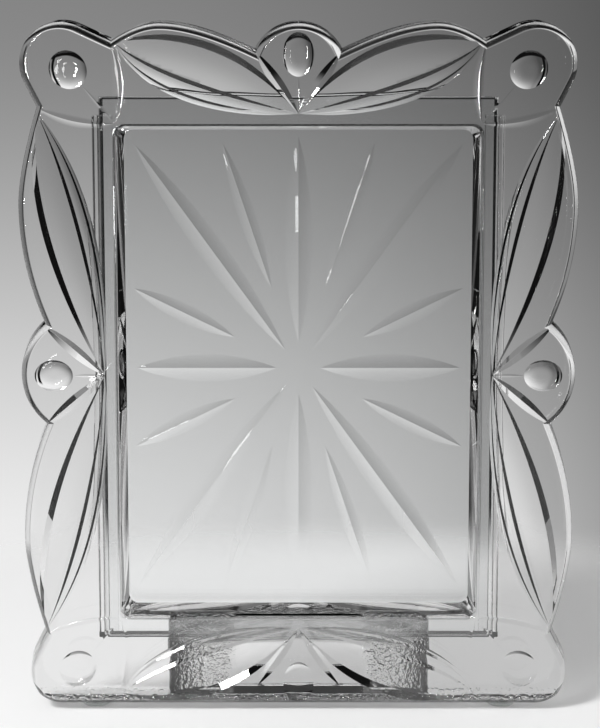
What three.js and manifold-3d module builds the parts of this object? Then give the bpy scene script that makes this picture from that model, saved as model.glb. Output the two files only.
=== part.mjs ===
// A standing cut-crystal picture frame: a scalloped border with leaf and thumbprint cuts, a clear pane
// and a star-cut back panel that lift out of two rails, and a crystal foot behind that holds it upright.
// Millimetres, +Z up, the face looks along -Y, the origin is under the middle of the footprint.
import * as THREE from 'three';
import { mergeVertices } from 'three/addons/utils/BufferGeometryUtils.js';
import Module from 'manifold-3d';

// The print that the frame holds, a 5 x 7 inch one
const printWidth = 127;
const printHeight = 177.8;
const printClearance = 1.1;
const printGap = 0.8;

// The crystal border and its window
const borderDepth = 14;
const rimDraft = THREE.MathUtils.degToRad(5.5);
const rimFrontWidth = 2.2;
const rimFrontSlope = THREE.MathUtils.degToRad(55);
const rimSideWidth = 1.27;
const rimSideSlope = THREE.MathUtils.degToRad(75);
const rimEdge = 0.3;
const sideOverlap = 6.5;
const endOverlap = 9.6;
const windowDraft = THREE.MathUtils.degToRad(6.3);
const windowCorner = 3.2;
const windowDrop = 0.3;

// The scalloped outline, measured outward from the window's edges at the front
const sideReach = 31.9;
const endReach = 32.3;
const cornerLobeRadius = 13.2;
const cornerLobeOut = 17.5;
const cornerLobeUp = 19.4;
const sideNotchOut = 25.4;
const sideNotchUp = 5.8;
const endNotchOut = 1.3;
const endNotchUp = 26.5;
const sideLobeNotch = 16.5;
const sideLobeInset = 8;
const endLobeNotch = 13.7;
const endLobeInset = 9;
const sideBulgeDrop = 32;
const sideBulgeEase = 11;
const sideBulgeTail = 19;
const endBulgeDrop = 15.5;
const endBulgeEase = 8.4;
const endBulgeTail = 18.9;

// The flat base that the lower corner lobes run into
const baseTrim = 1.8;
const baseRound = 4.5;

// The cuts in the border's face
const fanShares = [0, 0.66, 0.89, 1];
const fanValleys = [0.18, 0.3, 0.4];
const fanLand = 0.06;
const sideOuterHandles = [flat(6.3, -29.5), flat(14.2, 25)];
const sideInnerHandles = [flat(-19.1, -23.2), flat(-1.8, 32)];
const endOuterHandles = [flat(-16.5, 5.9), flat(18, 25.5)];
const endInnerHandles = [flat(-7.8, -15.8), flat(30, -1.8)];
const fanSlopes = [34, 33, 33].map(THREE.MathUtils.degToRad);
const notchInset = 1.6;
const sideMeetOut = 4.3;
const endMeetUp = 3.6;
const cornerMeetUp = 0.5;
const lobeLeafWidth = 3.8;
const lobeLeafSlope = THREE.MathUtils.degToRad(24);
const cornerLeafSlope = THREE.MathUtils.degToRad(13);
const cornerLeafBow = 2;
const mitreWidth = 1.5;
const mitreSlope = THREE.MathUtils.degToRad(12);
const dotDepth = 0.95;
const dotPower = 6;
const cornerDotWidth = 11.6;
const cornerDotLength = 12.7;
const cornerDotIn = 2.8;
const cornerDotDown = 1.9;
const endDotWidth = 10;
const endDotLength = 14;
const endDotIn = 10;
const sideDotWidth = 10.2;
const sideDotLength = 12.4;
const sideDotIn = 11;

// Pane, star panel and what holds them
const paneThickness = 2;
const panelThickness = 4;
const runningGap = 0.4;
const bondLine = 0.3;
const starSlope = THREE.MathUtils.degToRad(5.5);
const railWall = 1.9;
const railLip = 3.8;
const railLipThickness = 2;
const railTopInset = 6;
const footWidth = 88;
const footDepth = 24;
const footLipHeight = 6;
const footLipThickness = 3.4;
const footHeelHeight = 18;
const footRound = 0.8;
const footCorner = 15;

// Clear pads under the base, the front pair just outside the print and the rear pair under the foot
const padRadius = 4.5;
const padThickness = 1.4;
const padEdge = 0.4;
const frontPadOut = 4.5;
const frontPadIn = 9.2;
const rearPadEnd = 10;
const rearPadIn = 7;

// Fineness of curves and how far the cutters stand out of the face
const lobeSteps = 10;
const bulgeSteps = 5;
const midLobeSteps = 5;
const leafSteps = 8;
const cornerSteps = 4;
const dotSegments = 24;
const dotRings = 6;
const dotSpill = 1.2;
const padSegments = 24;
const raise = 1;
const endLift = 0.02;

// Sizes that follow from the driving dimensions
const panelWidth = printWidth + 2 * printClearance;
const panelHeight = printHeight + 2 * printClearance;
const rimSideDepth = rimSideWidth * Math.tan(rimSideSlope);
const rimFlare = (borderDepth - rimEdge - rimSideDepth) * Math.tan(rimDraft);
const windowFlare = borderDepth * Math.tan(windowDraft);
const windowHalfWidth = printWidth / 2 - sideOverlap + windowFlare;
const windowHalfHeight = printHeight / 2 - endOverlap + windowFlare;
const halfWidth = windowHalfWidth + sideReach;
const halfHeight = windowHalfHeight + endReach;
const totalDepth = borderDepth + bondLine + footDepth;
const frontY = -totalDepth / 2;
const rearY = frontY + borderDepth;
const baseZ = padThickness + bondLine;
const middleZ = baseZ + halfHeight - baseTrim;
const windowZ = middleZ - windowDrop;
const paneY = rearY + runningGap;
const panelY = paneY + paneThickness + printGap;
const panelBackY = panelY + panelThickness;
const panelBottomZ = windowZ - panelHeight / 2;
const frontPadSpread = printWidth / 2 + frontPadOut;
const rearPadSpread = footWidth / 2 - rearPadEnd;

const wasm = await Module();
wasm.setup();

// A closed geometry as a solid that can be joined and cut
function solid(geometry) {
  const bare = geometry.clone();
  bare.deleteAttribute('normal');
  bare.deleteAttribute('uv');
  const merged = mergeVertices(bare, 1e-4);
  const mesh = new wasm.Mesh({
    numProp: 3,
    vertProperties: new Float32Array(merged.attributes.position.array),
    triVerts: new Uint32Array(merged.index.array),
  });
  return new wasm.Manifold(mesh);
}

// A solid back as a geometry
function geometryOf(shape) {
  const mesh = shape.getMesh();
  const geometry = new THREE.BufferGeometry();
  geometry.setAttribute('position', new THREE.BufferAttribute(new Float32Array(mesh.vertProperties), 3));
  geometry.setIndex(new THREE.BufferAttribute(new Uint32Array(mesh.triVerts), 1));
  geometry.computeVertexNormals();
  return geometry;
}

function box(width, depth, height, x, y, z) {
  return new THREE.BoxGeometry(width, depth, height).translate(x, y, z);
}

// A closed geometry through rings of equal count, listed so that each ring runs counter-clockwise
// seen from the last ring
function loft(rings) {
  const count = rings[0].length;
  const positions = [];
  const triangles = [];
  for (const ring of rings) {
    for (const point of ring) positions.push(point.x, point.y, point.z);
  }
  for (let level = 0; level + 1 < rings.length; level += 1) {
    for (let step = 0; step < count; step += 1) {
      const next = (step + 1) % count;
      const low = level * count;
      const high = low + count;
      triangles.push(low + step, low + next, high + next, low + step, high + next, high + step);
    }
  }
  const last = (rings.length - 1) * count;
  for (let step = 1; step + 1 < count; step += 1) {
    triangles.push(0, step + 1, step, last, last + step, last + step + 1);
  }
  const geometry = new THREE.BufferGeometry();
  geometry.setAttribute('position', new THREE.Float32BufferAttribute(positions, 3));
  geometry.setIndex(triangles);
  return geometry;
}

// Points of the face are (x, z) pairs about the middle of the outline
function flat(x, z) {
  return new THREE.Vector2(x, z);
}

// Anchor points of the pattern in the upper right quarter
const cornerCentre = flat(windowHalfWidth + cornerLobeOut, windowHalfHeight + cornerLobeUp);
const sideNotch = flat(windowHalfWidth + sideNotchOut, windowHalfHeight + sideNotchUp);
const endNotch = flat(windowHalfWidth + endNotchOut, windowHalfHeight + endNotchUp);
const sideLobeEnd = flat(halfWidth - sideLobeInset, sideLobeNotch);
const endLobeEnd = flat(endLobeNotch, halfHeight - endLobeInset);
const sideMeet = flat(windowHalfWidth + sideMeetOut, 0);
const endMeet = flat(0, windowHalfHeight + endMeetUp);
const cornerMeet = flat(windowHalfWidth, windowHalfHeight + cornerMeetUp);

// Where a line from a point touches a circle, on the chosen side
function touchPoint(centre, radius, point, side) {
  const away = point.clone().sub(centre);
  const swing = side * Math.acos(radius / away.length());
  return away.setLength(radius).rotateAround(flat(0, 0), swing).add(centre);
}

// Points of an arc about a centre between two of its points, counter-clockwise
function arcPoints(centre, from, to, steps) {
  const radius = from.distanceTo(centre);
  const start = from.clone().sub(centre).angle();
  let sweep = to.clone().sub(centre).angle() - start;
  if (sweep < 0) sweep += 2 * Math.PI;
  const points = [];
  for (let step = 0; step <= steps; step += 1) {
    const turn = start + (sweep * step) / steps;
    points.push(flat(centre.x + radius * Math.cos(turn), centre.y + radius * Math.sin(turn)));
  }
  return points;
}

// Centre of the circle through a lobe's peak on an axis and its notch
function lobeCentre(peak, notch) {
  const chord = notch.clone().sub(peak);
  const inward = peak.clone().negate().normalize();
  const radius = chord.lengthSq() / (2 * chord.dot(inward));
  return peak.clone().addScaledVector(inward, radius);
}

// Points of a curve with one control point
function bentPoints(from, control, to) {
  return new THREE.QuadraticBezierCurve(from, control, to).getPoints(bulgeSteps);
}

// The upper right side of the outline, from its middle to the notch below the corner lobe
function sideOutline() {
  const peak = flat(halfWidth, 0);
  const bulge = flat(halfWidth, sideNotch.y - sideBulgeDrop);
  return [
    ...arcPoints(lobeCentre(peak, sideLobeEnd), peak, sideLobeEnd, midLobeSteps),
    ...bentPoints(sideLobeEnd, flat(halfWidth, sideLobeEnd.y + sideBulgeTail), bulge).slice(1),
    ...bentPoints(bulge, flat(halfWidth, bulge.y + sideBulgeEase), sideNotch).slice(1),
  ];
}

// The right half of the top, from the corner lobe to the middle
function topOutline() {
  const peak = flat(0, halfHeight);
  const bulge = flat(endNotch.x - endBulgeDrop, halfHeight);
  const lobeStart = touchPoint(cornerCentre, cornerLobeRadius, sideNotch, 1);
  const lobeEnd = touchPoint(cornerCentre, cornerLobeRadius, endNotch, -1);
  return [
    ...arcPoints(cornerCentre, lobeStart, lobeEnd, lobeSteps),
    ...bentPoints(endNotch, flat(endNotch.x - endBulgeEase, halfHeight), bulge),
    ...bentPoints(bulge, flat(endLobeEnd.x + endBulgeTail, halfHeight), endLobeEnd).slice(1),
    ...arcPoints(lobeCentre(peak, endLobeEnd), endLobeEnd, peak, midLobeSteps).slice(1),
  ];
}

// The corner lobe that runs into the flat base, drawn upside down like the top
function baseOutline() {
  const level = halfHeight - baseTrim;
  const half = Math.sqrt(cornerLobeRadius ** 2 - (level - cornerCentre.y) ** 2);
  const meeting = flat(cornerCentre.x + half, level);
  const lobeStart = touchPoint(cornerCentre, cornerLobeRadius, sideNotch, 1);
  const lobeEnd = meeting.clone().rotateAround(cornerCentre, -baseRound / cornerLobeRadius);
  return [
    ...arcPoints(cornerCentre, lobeStart, lobeEnd, lobeSteps),
    ...bentPoints(lobeEnd, meeting, flat(meeting.x - baseRound, level)).slice(1),
  ];
}

// The quarters mirrored into the whole outline
function wholeOutline() {
  const upper = [...sideOutline(), ...topOutline()];
  const lower = [...sideOutline(), ...baseOutline()];
  return [
    ...upper,
    ...upper.slice(1, -1).reverse().map((point) => flat(-point.x, point.y)),
    ...lower.map((point) => flat(-point.x, -point.y)),
    ...lower.slice(1).reverse().map((point) => flat(point.x, -point.y)),
  ];
}

// A V-shaped leaf cut between a left and a right edge, lists of face points seen along the cut from the
// front. Its walls meet the face at the edges, and its valley lies at a share of the width from the left.
// The slope is that of its steeper wall. outward is -1 on a front face and 1 on a rear face.
function leafCutter(left, right, valley, slope, faceY, outward) {
  const rings = [];
  const steep = Math.min(valley, 1 - valley);
  const spread = (share) => (raise * share) / (steep * Math.tan(slope));
  const middle = left.map((point, step) => point.clone().lerp(right[step], valley));
  middle.forEach((point, step) => {
    const before = middle[Math.max(step - 1, 0)];
    const after = middle[Math.min(step + 1, middle.length - 1)];
    const along = after.clone().sub(before).normalize();
    const across = flat(-along.y, along.x);
    const width = left[step].clone().sub(right[step]).dot(across);
    const depth = width * steep * Math.tan(slope) - endLift;
    const edges = [left[step].clone().addScaledVector(across, spread(valley))];
    edges.push(right[step].clone().addScaledVector(across, -spread(1 - valley)));
    if (outward > 0) edges.reverse();
    const ring = edges.map((edge) => new THREE.Vector3(edge.x, faceY + outward * raise, edge.y));
    ring.push(new THREE.Vector3(point.x, faceY - outward * depth, point.y));
    rings.push(ring);
  });
  return solid(loft(rings));
}

// A lens-shaped leaf between two face points, bowed to the left
function lensCutter(from, to, width, bow, slope, faceY, outward) {
  const along = to.clone().sub(from).normalize();
  const across = flat(-along.y, along.x);
  const bend = from.clone().lerp(to, 0.5).addScaledVector(across, 2 * bow);
  const path = new THREE.QuadraticBezierCurve(from, bend, to).getPoints(leafSteps);
  const edge = (side) => path.map((point, step) => {
    const share = step / leafSteps;
    return point.clone().addScaledVector(across, side * 2 * width * share * (1 - share));
  });
  return leafCutter(edge(1), edge(-1), 0.5, slope, faceY, outward);
}

// The leaves of one fan, between an outer and an inner curve that share both ends
function fanCutters(outer, inner, mirror, turn) {
  const outerPoints = outer.getPoints(leafSteps);
  const innerPoints = inner.getPoints(leafSteps);
  const between = (step, share) => outerPoints[step].clone().lerp(innerPoints[step], share);
  const edge = (share) => outerPoints.map((point, step) => mirror(between(step, share)));
  const cutters = [];
  for (let leaf = 0; leaf + 1 < fanShares.length; leaf += 1) {
    const land = ((fanShares[leaf + 1] - fanShares[leaf]) * fanLand) / 2;
    const edges = [edge(fanShares[leaf] + land), edge(fanShares[leaf + 1] - land)];
    if (turn < 0) edges.reverse();
    const valley = turn < 0 ? 1 - fanValleys[leaf] : fanValleys[leaf];
    cutters.push(leafCutter(edges[0], edges[1], valley, fanSlopes[leaf], frontY, -1));
  }
  return cutters;
}

// An oval thumbprint sunk into the face, a bowl with a flat bottom, its length turned from +Z to +X
function dotCutter(centre, width, length, turn) {
  const rings = [];
  for (let step = 1; step <= dotRings; step += 1) {
    const share = (dotSpill * step) / dotRings;
    const depth = dotDepth * (1 - share ** dotPower);
    const ring = [];
    for (let segment = 0; segment < dotSegments; segment += 1) {
      const angle = (2 * Math.PI * segment) / dotSegments;
      const spot = flat((Math.cos(angle) * width) / 2, (Math.sin(angle) * length) / 2);
      spot.multiplyScalar(share).rotateAround(flat(0, 0), -turn).add(centre);
      ring.push(new THREE.Vector3(spot.x, frontY + depth, spot.y));
    }
    rings.push(ring);
  }
  return solid(loft(rings));
}

// A guide curve of a fan, from beside a notch to the point where the leaves meet
function guide(notch, meet, handles) {
  const start = notch.clone().lerp(meet, notchInset / notch.distanceTo(meet));
  return new THREE.CubicBezierCurve(start, start.clone().add(handles[0]), meet.clone().add(handles[1]), meet);
}

// All the cuts in the face, quarter by quarter
function faceCutters() {
  const cutters = [];
  const sideOuter = guide(sideNotch, sideMeet, sideOuterHandles);
  const sideInner = guide(sideNotch, sideMeet, sideInnerHandles);
  const endOuter = guide(endNotch, endMeet, endOuterHandles);
  const endInner = guide(endNotch, endMeet, endInnerHandles);
  const cornerDot = flat(cornerCentre.x - cornerDotIn, cornerCentre.y - cornerDotDown);
  const dotTurn = Math.atan2(cornerCentre.x - cornerMeet.x, cornerCentre.y - cornerMeet.y);
  const dotReach = cornerMeet.clone().sub(cornerDot).setLength(cornerDotLength / 2);
  const cornerMitre = cornerDot.clone().add(dotReach);
  const sideDot = flat(halfWidth - sideDotIn, 0);
  const endDot = flat(0, halfHeight - endDotIn);
  for (const right of [1, -1]) {
    const sideMirror = (point) => flat(right * point.x, point.y);
    cutters.push(dotCutter(sideMirror(sideDot), sideDotLength, sideDotWidth, 0));
    const sideMitre = flat(sideDot.x - sideDotLength / 2, 0);
    cutters.push(lensCutter(
      sideMirror(sideMitre), sideMirror(sideMeet), mitreWidth, 0, mitreSlope, frontY, -1));
    for (const up of [1, -1]) {
      const mirror = (point) => flat(right * point.x, up * point.y);
      const turn = right * up;
      const leaf = (from, to, bow, slope) => lensCutter(
        mirror(from), mirror(to), lobeLeafWidth, turn * bow, slope, frontY, -1);
      cutters.push(...fanCutters(sideOuter, sideInner, mirror, turn));
      cutters.push(...fanCutters(endOuter, endInner, mirror, -turn));
      cutters.push(leaf(sideNotch, cornerMeet, cornerLeafBow, cornerLeafSlope));
      cutters.push(leaf(endNotch, cornerMeet, -cornerLeafBow, cornerLeafSlope));
      cutters.push(leaf(sideLobeEnd, sideMeet, 0, lobeLeafSlope));
      cutters.push(leaf(endLobeEnd, endMeet, 0, lobeLeafSlope));
      cutters.push(lensCutter(
        mirror(cornerMitre), mirror(cornerMeet), mitreWidth, 0, mitreSlope, frontY, -1));
      cutters.push(dotCutter(mirror(cornerDot), cornerDotWidth, cornerDotLength, turn * dotTurn));
    }
  }
  for (const up of [1, -1]) {
    const mirror = (point) => flat(point.x, up * point.y);
    const endMitre = flat(0, endDot.y - endDotLength / 2);
    cutters.push(dotCutter(mirror(endDot), endDotWidth, endDotLength, 0));
    cutters.push(lensCutter(mirror(endMitre), mirror(endMeet), mitreWidth, 0, mitreSlope, frontY, -1));
  }
  return cutters;
}

// A rounded rectangle as a ring of points, counter-clockwise seen from the front
function roundedRing(halfAcross, halfUp, corner, y, z) {
  const ring = [];
  const centres = [[1, 1], [-1, 1], [-1, -1], [1, -1]];
  centres.forEach(([right, up], turn) => {
    for (let step = 0; step <= cornerSteps; step += 1) {
      const angle = ((turn + step / cornerSteps) * Math.PI) / 2;
      const x = right * (halfAcross - corner) + corner * Math.cos(angle);
      ring.push(new THREE.Vector3(x, y, z + up * (halfUp - corner) + corner * Math.sin(angle)));
    }
  });
  return ring;
}

// The window's drafted opening, from just behind the border to just in front of it
function windowCutter() {
  const flare = raise * Math.tan(windowDraft);
  const back = windowFlare + flare;
  return solid(loft([
    roundedRing(windowHalfWidth - back, windowHalfHeight - back, windowCorner, rearY + raise, -windowDrop),
    roundedRing(windowHalfWidth + flare, windowHalfHeight + flare, windowCorner, frontY - raise, -windowDrop),
  ]));
}

// The outline, flared at the rear, as a slab that narrows all round towards its front face over a part of
// its depth, to lie inside the outline by a width
function taperedSlab(inside, over) {
  const narrowing = rimFlare + inside;
  const doubled = new THREE.ExtrudeGeometry(new THREE.Shape(wholeOutline()), {
    depth: 2 * (borderDepth - over),
    bevelEnabled: true,
    bevelThickness: over,
    bevelSize: narrowing,
    bevelOffset: -inside,
    bevelSegments: 1,
    curveSegments: 1,
  });
  doubled.rotateX(Math.PI / 2);
  doubled.translate(0, rearY + borderDepth - over, 0);
  return solid(doubled).trimByPlane([0, -1, 0], -rearY);
}

// The pressed border: drafted slab with a bevelled rim, base ground flat, window and cuts, about its own middle
function borderGeometry() {
  const slab = taperedSlab(rimSideDepth * Math.tan(rimDraft), borderDepth - rimEdge)
    .intersect(taperedSlab(rimSideWidth, rimSideDepth + rimFlare * Math.tan(rimSideSlope)))
    .intersect(taperedSlab(rimFrontWidth, (rimFrontWidth + rimFlare) * Math.tan(rimFrontSlope)));
  let border = slab.trimByPlane([0, 0, 1], baseTrim - halfHeight).subtract(windowCutter());
  for (const cutter of faceCutters()) border = border.subtract(cutter);
  return geometryOf(border);
}

// Rays of the star: angle from the horizontal in degrees, inner and outer radius and width
const starRays = [
  { angle: 0, inner: 7.2, outer: 54, width: 9.6 },
  { angle: 26, inner: 23.5, outer: 61, width: 6.6 },
  { angle: 54, inner: 7.2, outer: 92, width: 9 },
  { angle: 71.5, inner: 28, outer: 79, width: 6 },
  { angle: 90, inner: 8.5, outer: 77, width: 9.6 },
];

// The back panel with its star of V-cuts on the rear face, about its own middle
function panelGeometry() {
  let panel = solid(box(panelWidth, panelThickness, panelHeight, 0, 0, 0));
  const turns = new Set();
  for (const ray of starRays) {
    for (const angle of [ray.angle, 180 - ray.angle, 180 + ray.angle, 360 - ray.angle]) {
      if (turns.has(angle % 360)) continue;
      turns.add(angle % 360);
      const along = flat(1, 0).rotateAround(flat(0, 0), THREE.MathUtils.degToRad(angle));
      const from = along.clone().multiplyScalar(ray.inner);
      const to = along.clone().multiplyScalar(ray.outer);
      panel = panel.subtract(lensCutter(from, to, ray.width, 0, starSlope, panelThickness / 2, 1));
    }
  }
  return geometryOf(panel);
}

// A straight strip or block: an outline pushed out to a length about its middle, with eased edges
function prism(points, length, ease) {
  return new THREE.ExtrudeGeometry(new THREE.Shape(points), {
    depth: length - 2 * ease,
    bevelEnabled: ease > 0,
    bevelThickness: ease,
    bevelSize: ease,
    bevelOffset: -ease,
    bevelSegments: 1,
  }).translate(0, 0, ease - length / 2);
}

// An L-section rail: a wall beside the panel and a lip behind it, as (x, y) points for one side
function railGeometry(right) {
  const wallIn = panelWidth / 2 + runningGap;
  const wallOut = wallIn + railWall;
  const lipIn = panelWidth / 2 - railLip;
  const front = rearY + bondLine;
  const lipFront = panelBackY + runningGap;
  const back = lipFront + railLipThickness;
  const points = [
    flat(wallIn, front), flat(wallOut, front), flat(wallOut, back),
    flat(lipIn, back), flat(lipIn, lipFront), flat(wallIn, lipFront),
  ].map((point) => flat(right * point.x, point.y));
  if (right < 0) points.reverse();
  return prism(points, panelHeight - railTopInset, 0);
}

// The foot from above, with its two rear corners rounded off
function footPlan(front, back) {
  const half = footWidth / 2;
  const centre = flat(half - footCorner, back - footCorner);
  const right = [
    flat(half, front),
    ...arcPoints(centre, flat(half, centre.y), flat(centre.x, back), lobeSteps),
  ];
  return [...right, ...right.map((point) => flat(-point.x, point.y)).reverse()];
}

// The foot: a block behind the border with a ledge for pane and panel and a sloping lip behind them
function footGeometry() {
  const front = rearY + bondLine;
  const back = front + footDepth;
  const ledge = panelBottomZ - bondLine;
  const lipFront = panelBackY + runningGap;
  const points = [
    flat(front, baseZ), flat(back, baseZ), flat(back, baseZ + footHeelHeight),
    flat(lipFront + footLipThickness, ledge + footLipHeight), flat(lipFront, ledge + footLipHeight),
    flat(lipFront, ledge), flat(front, ledge),
  ];
  const block = prism(points, footWidth, footRound).rotateY(Math.PI / 2).rotateX(Math.PI / 2);
  const rounded = prism(footPlan(front, back), 2 * (ledge + footLipHeight + raise), 0);
  return geometryOf(solid(block).intersect(solid(rounded)));
}

// A round clear pad, its upper edge at the base and its lower edge eased
function padGeometry() {
  const profile = [
    flat(0, 0), flat(padRadius - padEdge, 0), flat(padRadius, padEdge),
    flat(padRadius, padThickness), flat(0, padThickness),
  ];
  return new THREE.LatheGeometry(profile, padSegments).rotateX(Math.PI / 2);
}

function finish(color, roughness) {
  return new THREE.MeshStandardMaterial({ color, roughness, metalness: 0 });
}

const crystal = finish(0xe9edef, 0.03);
const glass = finish(0xe3ebe8, 0.04);
const acrylic = finish(0xeceff0, 0.08);
const softClear = finish(0xdfe3e4, 0.25);

const group = new THREE.Group();

function place(name, geometry, material, x, y, z) {
  const mesh = new THREE.Mesh(geometry, material);
  mesh.name = name;
  mesh.position.set(x, y, z);
  group.add(mesh);
}

place('crystal_border', borderGeometry(), crystal, 0, 0, middleZ);
place('cover_pane', new THREE.BoxGeometry(panelWidth, paneThickness, panelHeight), glass,
  0, paneY + paneThickness / 2, windowZ);
place('star_panel', panelGeometry(), crystal, 0, panelY + panelThickness / 2, windowZ);
place('left_rail', railGeometry(-1), acrylic, 0, 0, windowZ - railTopInset / 2);
place('right_rail', railGeometry(1), acrylic, 0, 0, windowZ - railTopInset / 2);
place('rear_foot', footGeometry(), crystal, 0, 0, 0);
for (const [side, right] of [['left', -1], ['right', 1]]) {
  place(`front_pad_${side}`, padGeometry(), softClear, right * frontPadSpread,
    frontY + frontPadIn, 0);
  place(`rear_pad_${side}`, padGeometry(), softClear, right * rearPadSpread,
    totalDepth / 2 - rearPadIn, 0);
}

export default group;
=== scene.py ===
"""A standing cut-crystal picture frame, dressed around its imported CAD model.

Every piece is modelled finer than its CAD solid, in the same place: the pressed border with its leaf cuts
and thumbprints, the pane, the star-cut panel, the rails, the foot and the pads. Sizes are in millimetres
and the meshes in metres, +Z up, with the face towards -Y.
"""

import logging
import math
from collections.abc import Callable
from dataclasses import dataclass, replace
from enum import Enum

import bmesh
import bpy
from mathutils import Matrix, Vector
from mathutils.geometry import interpolate_bezier


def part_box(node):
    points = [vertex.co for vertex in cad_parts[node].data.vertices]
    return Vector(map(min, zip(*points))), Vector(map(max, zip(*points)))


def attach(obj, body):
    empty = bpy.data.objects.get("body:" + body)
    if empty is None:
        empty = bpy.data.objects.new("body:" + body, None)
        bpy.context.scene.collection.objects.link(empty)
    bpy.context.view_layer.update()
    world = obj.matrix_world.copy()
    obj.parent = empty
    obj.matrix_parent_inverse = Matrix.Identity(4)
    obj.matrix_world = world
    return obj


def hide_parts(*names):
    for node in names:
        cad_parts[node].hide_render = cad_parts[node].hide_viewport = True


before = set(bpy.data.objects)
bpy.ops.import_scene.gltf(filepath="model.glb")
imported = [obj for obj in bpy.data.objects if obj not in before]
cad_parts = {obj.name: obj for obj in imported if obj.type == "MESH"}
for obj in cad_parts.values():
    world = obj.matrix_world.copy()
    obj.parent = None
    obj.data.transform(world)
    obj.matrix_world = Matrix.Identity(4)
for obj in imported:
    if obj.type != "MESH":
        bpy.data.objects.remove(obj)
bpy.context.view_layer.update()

log = logging.getLogger("crystal_frame")

MM = 0.001
PHOTO_WIDTH = 600
PHOTO_HEIGHT = 728

# Points closer than this, in metres, are one point
WELD = 1e-7

# A face is level where its normal has more than this share along the axis
LEVEL = 0.99

# Edges sharper than this are the corners of a plate, strip or pad, and are eased
CORNER = math.radians(60)

# Edges sharper than these stay sharp to the eye, in pressed pieces, in flat and star-cut plates and in pads
PRESSED_SMOOTH = math.radians(20)
STAR_SMOOTH = math.radians(4)
PAD_SMOOTH = math.radians(30)

# How strongly large faces set the shading at their edges, so that flat glass stays flat
FLAT_WEIGHT = 100

# The foot's node, and the height of its lip over the ledge that the plates stand on, in millimetres
FOOT_NODE = "rear_foot"
FOOT_LIP = 6.0

# A place or size on the face, and the two handles of a guide curve, in millimetres
Pair = tuple[float, float]
Handles = tuple[Pair, Pair]


class Body(Enum):
    """The bodies that pieces ride on."""

    FRAME = "frame"
    PANEL = "panel"
    PANE = "pane"


class Slot(Enum):
    """The material slots that the finishes stand for."""

    CRYSTAL = "lead_crystal"
    FLOAT = "float_glass"
    ACRYLIC = "clear_acrylic"
    RUBBER = "clear_rubber"


class Change(Enum):
    """How a tool changes a piece."""

    CUT = "DIFFERENCE"
    KEEP_SHARED = "INTERSECT"


class Side(Enum):
    """Left and right as the viewer sees them, with the sign of X."""

    LEFT = -1
    RIGHT = 1


# Small tools for nodes, selections and cuts


def linear(code: str) -> tuple[float, float, float, float]:
    """Turn an sRGB hex colour into linear light.

    Args:
        code: Six hex digits.

    Returns:
        Red, green, blue and full alpha.
    """
    shares = [int(code[start:start + 2], 16) / 255 for start in (0, 2, 4)]
    light = [share / 12.92 if share <= 0.04045 else ((share + 0.055) / 1.055) ** 2.4 for share in shares]
    return (*light, 1.0)


def add_node(tree: bpy.types.NodeTree, kind: str, inputs: dict | None = None, **settings) -> bpy.types.Node:
    """Add a node, set its properties, and set or link its inputs.

    Args:
        tree: The tree that gets the node.
        kind: The node's type.
        inputs: Values or output sockets by the input's name or number.
        **settings: Properties of the node.

    Returns:
        The new node.
    """
    node = tree.nodes.new(kind)
    for name, value in settings.items():
        setattr(node, name, value)
    for name, value in (inputs or {}).items():
        if isinstance(value, bpy.types.NodeSocket):
            tree.links.new(value, node.inputs[name])
        else:
            node.inputs[name].default_value = value
    return node


def empty_tree(owner: bpy.types.Material | bpy.types.World) -> bpy.types.NodeTree:
    """Give a material or a world an empty node tree, and return the tree."""
    owner.use_nodes = True
    owner.node_tree.nodes.clear()
    return owner.node_tree


def choose(piece: bpy.types.Object) -> None:
    """Make a piece the only selected and the active object."""
    bpy.ops.object.select_all(action="DESELECT")
    piece.select_set(True)
    bpy.context.view_layer.objects.active = piece


def pick_faces(piece: bpy.types.Object, wanted: Callable[[bmesh.types.BMFace], bool]) -> None:
    """Select the faces of a piece in edit mode that pass a test."""
    bpy.ops.mesh.select_mode(type="FACE")
    bpy.ops.mesh.select_all(action="DESELECT")
    shape = bmesh.from_edit_mesh(piece.data)
    for face in shape.faces:
        face.select_set(wanted(face))
    bmesh.update_edit_mesh(piece.data)


def pick_edges(piece: bpy.types.Object, wanted: Callable[[bmesh.types.BMEdge], bool]) -> None:
    """Select the edges of a piece in edit mode that pass a test."""
    bpy.ops.mesh.select_mode(type="EDGE")
    bpy.ops.mesh.select_all(action="DESELECT")
    shape = bmesh.from_edit_mesh(piece.data)
    for edge in shape.edges:
        edge.select_set(wanted(edge))
    bmesh.update_edit_mesh(piece.data)


def close_up(piece: bpy.types.Object) -> None:
    """Merge the doubled points of a piece and turn its faces outward."""
    choose(piece)
    bpy.ops.object.mode_set(mode="EDIT")
    bpy.ops.mesh.select_all(action="SELECT")
    bpy.ops.mesh.remove_doubles(threshold=WELD)
    bpy.ops.mesh.normals_make_consistent(inside=False)
    bpy.ops.object.mode_set(mode="OBJECT")


def combine(piece: bpy.types.Object, tool: bpy.types.Object, change: Change) -> None:
    """Change a piece by a tool, and remove the tool.

    Args:
        piece: The piece that stays.
        tool: The closed solid that changes it.
        change: Whether the tool is cut away or only what both share is kept.
    """
    choose(piece)
    shaping = piece.modifiers.new("shaping", "BOOLEAN")
    shaping.operation = change.value
    shaping.solver = "MANIFOLD"
    shaping.object = tool
    bpy.ops.object.modifier_apply(modifier=shaping.name)
    bpy.data.objects.remove(tool)


def add_block(name: str, low: Vector, high: Vector) -> bpy.types.Object:
    """Add a cube primitive between two corners, with its place in its mesh."""
    bpy.ops.object.select_all(action="DESELECT")
    bpy.ops.mesh.primitive_cube_add(size=1, location=(low + high) / 2, scale=high - low)
    piece = bpy.context.object
    piece.name = name
    bpy.ops.object.transform_apply(location=True, rotation=True, scale=True)
    return piece


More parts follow.
